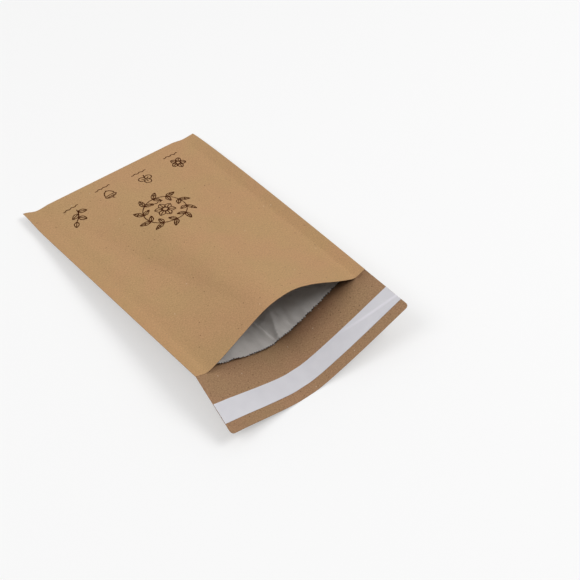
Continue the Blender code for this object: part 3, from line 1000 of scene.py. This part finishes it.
def lining_material():
    """Grey recycled paper with soft clouding, fine fibres and a few darker flecks."""
    material, tree, shader = new_material("grey_lining_paper", LINING_COLOUR, 0.74)
    shader.inputs["Specular IOR Level"].default_value = 0.3
    plain = sheet_coordinates(tree)
    clouds = add_range(tree, add_noise(tree, plain, 60, 5), *NOISE_SPREAD)
    base = add_mix(tree, clouds, LINING_DARK_CLOUDS, LINING_PALE_CLOUDS)
    fibres = add_noise(tree, sheet_coordinates(tree, (1.0, 0.3, 1.0)), 2100, 3, 0.5)
    flecks = add_specks(tree, plain, 0.0035, 0.04, 0.0005)
    colour = add_mix(tree, add_math(tree, "MULTIPLY", flecks, 0.35), base, FLECK_COLOUR)
    tree.links.new(colour, shader.inputs["Base Color"])
    relief = add_math(tree, "ADD", fibres, add_noise(tree, plain, 330, 4))
    add_bump(tree, shader, relief, 0.00008)
    return material


def glue_and_shade_rim_material():
    """The cut rim: dark brown glue soaked unevenly into the grey paper, with painted shadow of the gap
    under the edge.
    """
    material, tree, shader = new_material("glue_and_shade_rim", RIM_GLUE_AND_SHADE_COLOUR, 0.8)
    patches = add_range(tree, add_noise(tree, sheet_coordinates(tree), 360, 2), 0.47, 0.58)
    colour = add_mix(tree, patches, RIM_DARKEST_GLUE_AND_SHADE_COLOUR, RIM_BARE_COLOUR)
    tree.links.new(colour, shader.inputs["Base Color"])
    add_bump(tree, shader, patches, 0.00005)
    return material


kink_place = float(lining_end_at(np.array(LINING_KINK / HALF_WIDTH)))
print("the lining's edge at its kink, mm before the mouth:", round((POCKET_LENGTH - kink_place) * 1000, 1))


# %% Build the lining
def lining_stations(columns):
    """Rows of the lining: coarse inside, fine near the mouth, then out to the toothed edge."""
    cut = np.where(np.arange(len(columns)) % 2, TOOTH_DEPTH, 0.0)
    cut = cut * np.random.default_rng(TOOTH_SEED).uniform(*TOOTH_RANGE, len(columns))

    def toothed(u, back=0.0):
        return lining_end_at(u) - np.interp(u, columns, cut) - back
    distances = crowded(COARSE_ROW_COUNT, 0.0, FINE_ROWS_START, COARSE_ROW_CROWDING)[:-1]
    distances += list(np.linspace(FINE_ROWS_START, PADDING_END - DROP_MARGIN, FINE_ROW_COUNT))
    last = PADDING_END + DROP_MARGIN
    stations = [steady(s) for s in distances + [last]]
    stations += [lambda u, part=part: mix(last, toothed(u, RIM_WIDTH), part) for part in RIM_EASING]
    return stations + [toothed]


def make_lining():
    tooth_columns = int(2 * round(MAILER_WIDTH * SEAM_LINE / TOOTH_PITCH))
    columns = np.linspace(-SEAM_LINE, SEAM_LINE, tooth_columns + 1)
    stations = lining_stations(columns)

    def wrinkled(depth_at):
        rows, flat = pouch_rows(columns, stations, depth_at)
        rows, flat = np.array(rows), np.array(flat)
        fold = (len(rows) - 1) / 2
        for index, places in enumerate(flat):
            front = index < fold
            x, s = places[:, 0], distance_from_foot(places[:, 1])
            room = height_between(x / HALF_WIDTH, s) - 2 * lining_depth_at(s) - ROOM_CLEARANCE
            curled = EDGE_LIFT * smooth(share(s, PADDING_END, POCKET_LENGTH - LINING_SETBACK_KINK))
            lift = lining_wrinkle(x, s, front) + curled
            lift = np.minimum(lift, ROOM_SHARE * np.maximum(0.0, room))
            rows[index, :, 2] += -lift if front else lift
        return rows, flat

    outside, outside_flat = wrinkled(lining_depth_at)
    inside, inside_flat = wrinkled(lambda s: lining_depth_at(s) + LINING_THICKNESS)
    builder = PaperBuilder()
    builder.add_rows(outside, outside_flat)
    builder.add_rows(inside[1:-1], inside_flat[1:-1])
    # The last rows at each end take the rim finish: glue with painted shadow
    for rim in (slice(0, 2), slice(-2, None)):
        builder.add_rows(inside[rim], inside_flat[rim], 1)
    builder.add_rows([outside[0], inside[0]], [outside_flat[0]] * 2, 1)
    builder.add_rows([outside[-1], inside[-1]], [outside_flat[-1]] * 2, 1)
    lining = builder.make_object("grey_lining", [lining_material(), glue_and_shade_rim_material()], CREASE_ANGLE)
    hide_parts("inner_lining")
    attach(lining, "root")
    return lining


make_lining()

# %% [markdown]
# ## Glue band and release liner
#
# The glue is a thin band that stays tacky under its liner. The liner is smooth siliconised
# paper, a little glossy, cut level with the sides of the flap. It is pressed on by a roller,
# which here left one fine slanting fold in its right half. Along that fold the liner's colour
# is lightened, a painted highlight for the fold's glint. Both are thin boxes that follow the
# flap, so the same rows of points serve.

# %% Sizes and finishes of the glue and the liner
LINER_START = 0.0263
LINER_WIDTH = 0.0182
LINER_SIDE_MARGIN = 0.0003
LINER_BASE = KRAFT_THICKNESS + 0.00022
LINER_THICKNESS = 0.00014
GLUE_BASE = KRAFT_THICKNESS + 0.00004
GLUE_THICKNESS = 0.00012
GLUE_MARGIN = 0.002
GLUE_SIDE_MARGIN = 0.004
FOLD_HEIGHT = 0.00034
FOLD_WIDTH = 0.0015
FOLD_FROM_X = 0.040
# The fold reaches this share of the liner's width, and bends by this power on its way
FOLD_REACH = 0.70
FOLD_BEND = 0.75
# How far from the fold the painted highlight reaches, and how far it stays full
HIGHLIGHT_OUT_TO = 0.0019
HIGHLIGHT_FULL_OUT_TO = 0.0003
BAND_COLUMN_COUNT = 201
BAND_ROW_COUNT = 37
GLUE_COLOUR = (0.70, 0.66, 0.55)
GLUE_DARK_STREAKS = (0.62, 0.57, 0.45)
GLUE_PALE_STREAKS = (0.76, 0.73, 0.63)
LINER_COLOUR = (0.61, 0.60, 0.634)
LINER_DARK_CLOUDS = (0.595, 0.585, 0.62)
LINER_PALE_CLOUDS = (0.632, 0.622, 0.654)
LINER_PAINTED_HIGHLIGHT_COLOUR = (0.715, 0.695, 0.745)


def glue_material():
    material, tree, shader = new_material("seal_glue", GLUE_COLOUR, 0.3)
    streaks = add_noise(tree, sheet_coordinates(tree, (0.2, 1.0, 1.0)), 500, 3)
    spread = add_range(tree, streaks, *NOISE_SPREAD)
    colour = add_mix(tree, spread, GLUE_DARK_STREAKS, GLUE_PALE_STREAKS)
    tree.links.new(colour, shader.inputs["Base Color"])
    add_bump(tree, shader, streaks, 0.00008)
    return material


def painted_fold_highlight(tree):
    """1 along the liner's fold, where a highlight is painted into the colour, and 0 away from it."""
    split = tree.nodes.new("ShaderNodeSeparateXYZ")
    tree.links.new(sheet_coordinates(tree), split.inputs["Vector"])
    run = add_range(tree, split.outputs["X"], FOLD_FROM_X, HALF_WIDTH)
    line = add_math(tree, "MULTIPLY", add_math(tree, "POWER", run, FOLD_BEND), FOLD_REACH * LINER_WIDTH)
    across = add_math(tree, "SUBTRACT", split.outputs["Y"], float(POCKET_LENGTH + LINER_START))
    off = add_math(tree, "ABSOLUTE", add_math(tree, "SUBTRACT", across, line), 0.0)
    near = add_range(tree, off, HIGHLIGHT_OUT_TO, HIGHLIGHT_FULL_OUT_TO)
    return add_math(tree, "MULTIPLY", near, add_range(tree, run, 0.02, 0.45, 0.15, 1.0))


def liner_material():
    """Smooth cool white paper with a thin silicone gloss, and a painted highlight along its fold."""
    material, tree, shader = new_material("release_liner_paper", LINER_COLOUR, 0.45)
    shader.inputs["Coat Weight"].default_value = 0.12
    shader.inputs["Coat Roughness"].default_value = 0.35
    plain = sheet_coordinates(tree)
    clouds = add_range(tree, add_noise(tree, plain, 70, 4), *NOISE_SPREAD)
    paper = add_mix(tree, clouds, LINER_DARK_CLOUDS, LINER_PALE_CLOUDS)
    # Painted highlight: the liner's colour is lightened along its fold
    colour = add_mix(tree, painted_fold_highlight(tree), paper, LINER_PAINTED_HIGHLIGHT_COLOUR)
    tree.links.new(colour, shader.inputs["Base Color"])
    rough = add_range(tree, add_noise(tree, plain, 240, 3), *NOISE_SPREAD, 0.36, 0.48)
    tree.links.new(rough, shader.inputs["Roughness"])
    add_bump(tree, shader, add_noise(tree, plain, 900, 3), 0.000012)
    return material


LINER_REACH = np.array([LINER_START, LINER_START + LINER_WIDTH])
print("the liner's edges, mm past the mouth:", np.round(LINER_REACH * 1000, 1))


# %% Build the glue and the liner
def liner_fold(u, s):
    """A fine fold that leaves the liner's inner edge and slants across it to the right side."""
    run = share(u, FOLD_FROM_X / HALF_WIDTH, 1.0)
    line = POCKET_LENGTH + LINER_START + LINER_WIDTH * FOLD_REACH * run ** FOLD_BEND
    return FOLD_HEIGHT * np.exp(-np.abs(s - line) / FOLD_WIDTH) * smooth(share(run, 0.0, 0.35))


def make_band(name, node, material, margin, side_margin, base, thickness, relief):
    start = POCKET_LENGTH + LINER_START + margin
    end = POCKET_LENGTH + LINER_START + LINER_WIDTH - margin
    limit = 1 - side_margin / HALF_WIDTH
    columns = np.linspace(-limit, limit, BAND_COLUMN_COUNT)
    distances = np.linspace(start, end, BAND_ROW_COUNT)
    flat = [flat_row(columns, s, 1) for s in distances]
    low = [sheet_point(columns, s, base + relief(columns, s)) for s in distances]
    high = [sheet_point(columns, s, base + thickness + relief(columns, s)) for s in distances]
    builder = PaperBuilder()
    builder.add_rows(low, flat)
    builder.add_rows(high, flat)
    for edge in (0, -1):
        builder.add_rows([low[edge], high[edge]], [flat[edge]] * 2)
        builder.add_rows([side_of(low, edge), side_of(high, edge)], [side_of(flat, edge)] * 2)
    band = builder.make_object(name, [material])
    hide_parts(node)
    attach(band, "root")
    return band


make_band("glue_band", "adhesive_strip", glue_material(), GLUE_MARGIN, GLUE_SIDE_MARGIN,
          GLUE_BASE, GLUE_THICKNESS, lambda u, s: 0.0 * u)
make_band("peel_off_liner", "release_liner", liner_material(), 0.0, LINER_SIDE_MARGIN,
          LINER_BASE, LINER_THICKNESS, liner_fold)

# %% [markdown]
# ## The print
#
# Mailers like this carry a one-colour line print: a large motif in the middle and a row of
# small ones near the foot. This one has a leaf wreath round a flower, and below it a sprig, an
# acorn, a clover and a flower, each over a short wave. An image texture would be the usual way.
# Here each stroke is a narrow ribbon of ink laid on the paper, because a ribbon stays crisp at
# any distance and follows the bowed panel exactly.
#
# A stroke is a list of points in millimetres, with the motif's base towards the foot.

# %% Strokes of the motifs
LEAF_FULLNESS = 0.85
LEAF_POINTS = 14
MIDRIB_POINTS = 12
WAVE_POINTS = 12
# Side veins leave the midrib here and run this far ahead, in parts of the leaf's length
VEIN_PLACE = 0.45
VEIN_LENGTH = 0.14
# They end at this part of the half width that the leaf has a little ahead of their start
VEIN_REACH = 0.8
VEIN_REACH_AHEAD = 0.12
# A flower's round centre in parts of its radius, and a petal's width in the same
FLOWER_EYE = 0.26
PETAL_WIDTH = 0.62
# The two leaves at each step of the wreath: how they lean, their length and width in parts of
# the leaf length, and whether they have side veins
WREATH_LEAVES = ((42, 1.0, 0.40, True), (142, 0.80, 0.36, False))


def arc_points(centre, radii, start, end, count=18):
    """Points along part of an ellipse, angles in degrees."""
    turns = np.radians(np.linspace(start, end, count))
    return np.stack([centre[0] + radii[0] * np.cos(turns), centre[1] + radii[1] * np.sin(turns)], -1)


def direction_at(angle):
    turn = math.radians(angle)
    return np.array([math.cos(turn), math.sin(turn)])


def leaf_strokes(base, angle, length, width, veined):
    """A pointed leaf: two bowed sides, a midrib and, where it is veined, a pair of side veins."""
    ahead = direction_at(angle)
    aside = np.array([-ahead[1], ahead[0]])
    part = np.linspace(0, 1, LEAF_POINTS)[:, None]
    swell = np.sin(np.pi * part ** LEAF_FULLNESS) * width / 2
    spine = np.asarray(base) + ahead * length * part
    strokes = [spine + aside * swell, spine - aside * swell, spine[:MIDRIB_POINTS]]
    if veined:
        root = np.asarray(base) + ahead * length * VEIN_PLACE
        half_width = math.sin(math.pi * (VEIN_PLACE + VEIN_REACH_AHEAD) ** LEAF_FULLNESS) * width / 2
        for side in (1, -1):
            tip = root + ahead * length * VEIN_LENGTH + aside * side * (half_width * VEIN_REACH)
            strokes.append(np.array([root, tip]))
    return strokes


def flower_strokes(centre, radius, petals, turn=0.0):
    """Pointed petals about a small round centre, each with a line down its middle."""
    eye = FLOWER_EYE * radius
    strokes = [arc_points(centre, (eye, eye), 0, 360, 20)]
    for petal in range(petals):
        angle = turn + 360 * petal / petals
        root = np.asarray(centre) + eye * direction_at(angle)
        strokes += leaf_strokes(root, angle, radius - eye, radius * PETAL_WIDTH, False)
    return strokes


def wave_stroke(centre, length, height, waves):
    part = np.linspace(0, 1, WAVE_POINTS * waves + 1)
    x = centre[0] + (part - 0.5) * length
    return np.stack([x, centre[1] + height * np.sin(2 * np.pi * waves * part)], -1)


def wreath_strokes(radius, pairs, leaf_length):
    """A ring of twig with a leaf on each side at every step."""
    strokes = [arc_points((0, 0), (radius, radius), 0, 360, 90)]
    for pair in range(pairs):
        angle = 360 * (pair + 0.5) / pairs
        root = radius * direction_at(angle)
        for lean, length, width, veined in WREATH_LEAVES:
            strokes += leaf_strokes(root, angle + lean, leaf_length * length, leaf_length * width, veined)
    return strokes


print("a veined leaf takes", len(leaf_strokes((0, 0), 90, 10, 4, True)), "strokes")


# %% The motifs themselves
def acorn_strokes():
    cup = [arc_points((0, 1.2), (4.6, 2.6), 0, 180), arc_points((0, 1.2), (4.6, 0.9), 180, 360)]
    nut = [arc_points((0, 0.9), (3.9, 6.4), 185, 355), arc_points((0, -5.4), (0.5, 0.9), 200, 340, 6)]
    hatch = [np.array([[x, 1.6], [x + 1.4, 3.0]]) for x in (-3.2, -1.6, 0.0, 1.6)]
    return cup + nut + hatch + [np.array([[0.0, 3.8], [0.3, 5.2], [1.1, 6.3]])]


def clover_strokes():
    strokes = [np.array([[0, 0], [0.3, -3.0], [1.2, -6.4]])]
    for angle in (90, 210, 330):
        heart = direction_at(angle)
        strokes.append(arc_points(heart * 3.1, (2.7, 2.7), angle - 165, angle + 165, 26))
        strokes.append(np.array([heart * 0.5, heart * 3.6]))
    return strokes


def sprig_strokes():
    stem = arc_points((-16, -7), (18.5, 15.0), 0, 50, 16)
    strokes = [stem]
    for index, lean in ((3, 28), (6, 162), (10, 55)):
        strokes += leaf_strokes(stem[index], lean, 7.0, 3.8, False)
    return strokes + leaf_strokes(stem[-1], 125, 6.2, 3.6, False)


SMALL_MOTIF_SCALE = 1.3
# Each motif: its name, its place on the sheet (x, s) and its strokes
SMALL_MOTIFS = (
    ("leaf_sprig", -0.060, 0.033, sprig_strokes()),
    ("acorn", -0.021, 0.029, acorn_strokes()),
    ("clover", 0.019, 0.033, clover_strokes()),
    ("small_flower", 0.060, 0.029, flower_strokes((0, 0), 6.4, 5, 18)),
)
LARGE_MOTIF = (
    "leaf_wreath", 0.004, 0.090,
    wreath_strokes(21.5, 10, 11.4) + flower_strokes((0, 0.6), 10.5, 6, 30)
    + [wave_stroke((0, -13.4), 13, 0.7, 3)],
)
WAVE_BELOW = 11.0
print("strokes of each motif:", [len(motif[-1]) for motif in SMALL_MOTIFS + (LARGE_MOTIF,)])

# %% [markdown]
# Each stroke is resampled to short steps, widened to a ribbon in flat-sheet coordinates, and
# only then laid on the bowed front panel. The ribbon is a few hundredths of a millimetre
# thick, as a heavy ink film is, and its width wanders slightly like a real screen print.

# %% Turn a stroke into a ribbon of ink
INK_WIDTH = 0.00100
INK_LIFT = 0.00003
INK_THICKNESS = 0.00006
INK_STEP = 0.0007
INK_WANDER = 0.12
INK_WANDER_ACROSS = 2600
INK_WANDER_ALONG = 1900
INK_END_WIDTH = 0.55
INK_COLOUR = (0.060, 0.016, 0.004)
INK_FULL_COLOUR = (0.046, 0.011, 0.002)
INK_THIN_COLOUR = (0.095, 0.036, 0.012)
MILLIMETRE = 0.001


def front_surface(x, s):
    """Points on the front panel and the directions that point straight out of it."""
    u = x / HALF_WIDTH
    step = 0.0005

    def surface(du, ds):
        return sheet_point(u + du, s + ds, height_between(u + du, s + ds))
    point = surface(0, 0)
    across = surface(step / HALF_WIDTH, 0) - point
    along = point - surface(0, step)
    out = np.cross(across, along)
    return point, out / np.linalg.norm(out, axis=-1, keepdims=True)


def resample(stroke, step):
    """The same line with points a short step apart."""
    stroke = np.asarray(stroke, float)
    lengths = np.concatenate([[0], np.cumsum(np.linalg.norm(np.diff(stroke, axis=0), axis=1))])
    count = max(2, int(round(lengths[-1] / step)) + 1)
    places = np.linspace(0, lengths[-1], count)
    return np.stack([np.interp(places, lengths, stroke[:, axis]) for axis in (0, 1)], -1)


def add_ribbon(builder, stroke, width):
    """One ink stroke as a thin closed ribbon on the front panel."""
    line = resample(stroke, INK_STEP)
    ahead = np.gradient(line, axis=0)
    ahead = ahead / np.maximum(1e-9, np.linalg.norm(ahead, axis=1, keepdims=True))
    aside = np.stack([-ahead[:, 1], ahead[:, 0]], -1)
    turn = line[:, 0] * INK_WANDER_ACROSS + line[:, 1] * INK_WANDER_ALONG
    wander = 1 + INK_WANDER * np.sin(turn)
    ends = np.ones(len(line))
    ends[[0, -1]] = INK_END_WIDTH
    half = (width / 2 * wander * ends)[:, None]
    sides = [line - aside * half, line + aside * half]
    faces = [front_surface(side[:, 0], side[:, 1]) for side in sides]
    low = [point + out * INK_LIFT for point, out in faces]
    high = [point + out * (INK_LIFT + INK_THICKNESS) for point, out in faces]
    ring = [low[0], low[1], high[1], high[0], low[0]]
    flats = [flat_row(side[:, 0] / HALF_WIDTH, side[:, 1], -1) for side in sides]
    flat = [flats[0], flats[1], flats[1], flats[0], flats[0]]
    builder.add_rows(ring, flat)
    for end in (0, -1):
        cap = [[low[0][end], low[1][end]], [high[0][end], high[1][end]]]
        builder.add_rows(cap, [[flats[0][end], flats[1][end]]] * 2)


print("ink film, mm:", round(INK_THICKNESS * 1000, 2), "line width, mm:", round(INK_WIDTH * 1000, 2))


# %% Lay the print on the front panel
def ink_material():
    """Dark brown ink, thinner where the paper's grain broke the film."""
    material, tree, shader = new_material("brown_ink", INK_COLOUR, 0.9)
    shader.inputs["Specular IOR Level"].default_value = 0.05
    grain = add_range(tree, add_noise(tree, sheet_coordinates(tree), 1500, 3), 0.42, 0.74)
    colour = add_mix(tree, grain, INK_FULL_COLOUR, INK_THIN_COLOUR)
    tree.links.new(colour, shader.inputs["Base Color"])
    add_bump(tree, shader, grain, 0.00002)
    return material


def print_motif(name, x, s, strokes, material, scale=1.0):
    builder = PaperBuilder()
    for stroke in strokes:
        add_ribbon(builder, np.asarray(stroke) * scale * MILLIMETRE + np.array([x, s]), INK_WIDTH)
    motif = builder.make_object("print_" + name, [material])
    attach(motif, "root")
    return motif


ink = ink_material()
for name, x, s, strokes in SMALL_MOTIFS:
    wave = wave_stroke((0, -WAVE_BELOW), 13, 0.5, 3)
    print_motif(name, x, s, strokes + [wave], ink, SMALL_MOTIF_SCALE)
print_motif(*LARGE_MOTIF, ink)

# %% [markdown]
# ## Floor and light
#
# The mailer is shown as a product photo: white all round, with soft light. A bare white world
# gives flat light, also deep in the pocket, so the world is brightest high on the foot side and
# nearly dark towards the mouth's horizon, and two soft boxes add direction. One is high on the
# mouth's right side and reaches a little way into the pocket. The other stands opposite, on the
# left, and evens out the arch. Together they light a level face at a plain strength of 1, at
# which a colour renders about as it is written. The floor is pale and keeps the shadow, and the
# world looks white to the camera and in gloss.

# %% Make the floor
FLOOR_COLOUR = (0.54, 0.54, 0.54)
FLOOR_GLOW = 0.41
FLOOR_REACH = 4.0
FLOOR_DROP = 0.0001


def make_floor():
    mesh = bpy.data.meshes.new("studio_floor")
    corners = [(x * FLOOR_REACH, y * FLOOR_REACH, 0) for x, y in ((-1, -1), (1, -1), (1, 1), (-1, 1))]
    mesh.from_pydata(corners, [], [(0, 1, 2, 3)])
    floor = bpy.data.objects.new("studio_floor", mesh)
    bpy.context.scene.collection.objects.link(floor)
    material, tree, shader = new_material("studio_white", FLOOR_COLOUR, 0.9)
    shader.inputs["Specular IOR Level"].default_value = 0.0
    path = tree.nodes.new("ShaderNodeLightPath")
    glow = tree.nodes.new("ShaderNodeEmission")
    seen = add_math(tree, "MULTIPLY", path.outputs["Is Camera Ray"], FLOOR_GLOW)
    tree.links.new(seen, glow.inputs["Strength"])
    total = tree.nodes.new("ShaderNodeAddShader")
    output = tree.nodes["Material Output"]
    tree.links.new(shader.outputs["BSDF"], total.inputs[0])
    tree.links.new(glow.outputs["Emission"], total.inputs[1])
    tree.links.new(total.outputs["Shader"], output.inputs["Surface"])
    mesh.materials.append(material)
    floor.location.z = -FLOOR_DROP
    return floor


floor = make_floor()
print(floor.name, "reaches", FLOOR_REACH, "m each way, and lies", FLOOR_DROP * 1000, "mm low")

# %% Make the world and the soft boxes
WORLD_BRIGHT_SIDE = Vector((0.10, 0.45, 0.88)).normalized()
WORLD_DARKEST = 0.02
WORLD_BRIGHTEST = 0.74
LAMP_DISTANCE = 3.0
LAMP_SIZE = 1.5
# Each soft box: its name, the direction it stands in, and its share of the light
SOFT_BOXES = (
    ("mouth_soft_box", Vector((0.50, -0.33, 0.80)), 0.36),
    ("left_soft_box", Vector((-0.58, 0.20, 0.79)), 0.23),
)


def make_world():
    world = bpy.data.worlds.new("studio_world")
    bpy.context.scene.world = world
    world.use_nodes = True
    tree = world.node_tree
    background = tree.nodes["Background"]
    background.inputs["Color"].default_value = (1, 1, 1, 1)
    path = tree.nodes.new("ShaderNodeLightPath")
    seen = add_math(tree, "MAXIMUM", path.outputs["Is Camera Ray"], path.outputs["Is Glossy Ray"])
    seen = add_math(tree, "MAXIMUM", seen, path.outputs["Is Transmission Ray"])
    direction = tree.nodes.new("ShaderNodeTexCoord")
    towards = tree.nodes.new("ShaderNodeVectorMath")
    towards.operation = "DOT_PRODUCT"
    towards.inputs[1].default_value = WORLD_BRIGHT_SIDE
    tree.links.new(direction.outputs["Generated"], towards.inputs[0])
    light = add_range(tree, towards.outputs["Value"], 0, 1, WORLD_DARKEST, WORLD_BRIGHTEST)
    tree.links.new(add_math(tree, "MAXIMUM", light, seen), background.inputs["Strength"])


def make_soft_box(name, direction, light_share):
    """A square lamp far off. Its power gives a level face its share of the light."""
    direction = direction.normalized()
    lamp = bpy.data.lights.new(name, "AREA")
    lamp.size = LAMP_SIZE
    lamp.energy = light_share * (math.pi * LAMP_DISTANCE) ** 2 / direction.z
    box = bpy.data.objects.new(name, lamp)
    box.location = direction * LAMP_DISTANCE
    box.rotation_euler = direction.to_track_quat("Z", "Y").to_euler()
    bpy.context.scene.collection.objects.link(box)
    return box


make_world()
print("soft boxes:", [make_soft_box(*soft_box).name for soft_box in SOFT_BOXES])
bpy.context.scene.view_settings.view_transform = "Standard"
